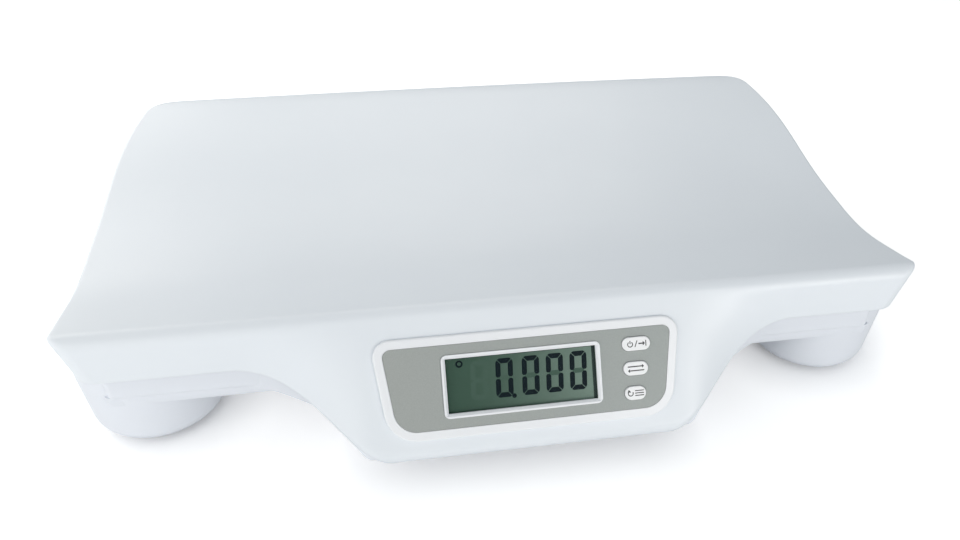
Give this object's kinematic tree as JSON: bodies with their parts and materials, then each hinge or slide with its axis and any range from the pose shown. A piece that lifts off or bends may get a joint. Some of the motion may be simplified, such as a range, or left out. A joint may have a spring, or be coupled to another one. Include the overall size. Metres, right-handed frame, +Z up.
{
  "type": "digital baby weighing scale",
  "caption": "White baby weighing scale: a long curved cradle tray with rolled rims on cup feet, and a sloped front console with a display window and oval keys.",
  "frame": {"origin": "centre of the bounding box in plan, at the underside of the rubber pads", "axes": "+X along the tray towards the keys' end, +Y from the display side to the back rim, +Z up"},
  "size_m": [0.6046, 0.3862, 0.1096],
  "materials": {
    "tray_plastic": "satin moulded ABS",
    "base_plastic": "satin moulded ABS",
    "carrier_plastic": "matte moulded",
    "cell_steel": "ground",
    "disc_plastic": "matte moulded",
    "pad_rubber": "matte",
    "surround_plastic": "satin moulded ABS",
    "plate_grey": "printed film",
    "window_clear": "clear",
    "display_glass": "smooth",
    "reflector_foil": "matte",
    "key_plastic": "satin",
    "black_plastic": "matte",
    "board_green": "solder resist",
    "screw_steel": "zinc plated",
    "socket_plastic": "natural nylon",
    "cell_wrap": "printed sleeve",
    "contact_metal": "nickel plated",
    "lead_black": "PVC",
    "lead_red": "PVC"
  },
  "bodies": {
    "housing": {"tray_shell": "tray_plastic", "base_shell": "base_plastic", "foot_cup_front_left": "base_plastic", "cell_carrier_front_left": "carrier_plastic", "load_cell_front_left": "cell_steel", "foot_disc_front_left": "disc_plastic", "rubber_pad_front_left": "pad_rubber", "foot_cup_front_right": "base_plastic", "cell_carrier_front_right": "carrier_plastic", "load_cell_front_right": "cell_steel", "foot_disc_front_right": "disc_plastic", "rubber_pad_front_right": "pad_rubber", "foot_cup_rear_left": "base_plastic", "cell_carrier_rear_left": "carrier_plastic", "load_cell_rear_left": "cell_steel", "foot_disc_rear_left": "disc_plastic", "rubber_pad_rear_left": "pad_rubber", "foot_cup_rear_right": "base_plastic", "cell_carrier_rear_right": "carrier_plastic", "load_cell_rear_right": "cell_steel", "foot_disc_rear_right": "disc_plastic", "rubber_pad_rear_right": "pad_rubber", "display_surround": "surround_plastic", "faceplate": "plate_grey", "lcd_lens": "window_clear", "lcd_glass": "display_glass", "lcd_frame": "carrier_plastic", "contact_strip": "pad_rubber", "reflector": "reflector_foil", "tact_switches": "black_plastic", "main_board": "board_green", "board_screws": "screw_steel", "board_chips": "black_plastic", "board_sockets": "socket_plastic", "battery_cells": "cell_wrap", "contact_plates": "contact_metal", "contact_springs": "contact_metal", "carrier_screws": "screw_steel", "cup_screws": "screw_steel", "case_screws": "screw_steel", "cell_leads": "lead_black", "battery_lead": "lead_red"},
    "door": {"battery_door": "base_plastic"},
    "power_key": {"key_power": "key_plastic"},
    "units_key": {"key_units": "key_plastic"},
    "memory_key": {"key_memory": "key_plastic"}
  },
  "joints": [
    {"name": "power_key_press", "type": "slide", "parent": "housing", "child": "power_key", "axis": [0, 0.829, -0.5592], "range_m": [0, 0.0008], "stiffness_N_per_m": 600, "springref_m": -0.0005},
    {"name": "units_key_press", "type": "slide", "parent": "housing", "child": "units_key", "axis": [0, 0.829, -0.5592], "range_m": [0, 0.0008], "stiffness_N_per_m": 600, "springref_m": -0.0005},
    {"name": "memory_key_press", "type": "slide", "parent": "housing", "child": "memory_key", "axis": [0, 0.829, -0.5592], "range_m": [0, 0.0008], "stiffness_N_per_m": 600, "springref_m": -0.0005},
    {"name": "door_hinge", "type": "hinge", "parent": "housing", "child": "door", "pos_m": [0, 0.07605, 0.0516], "axis": [1, 0, 0], "range_deg": [0, 40]}
  ]
}
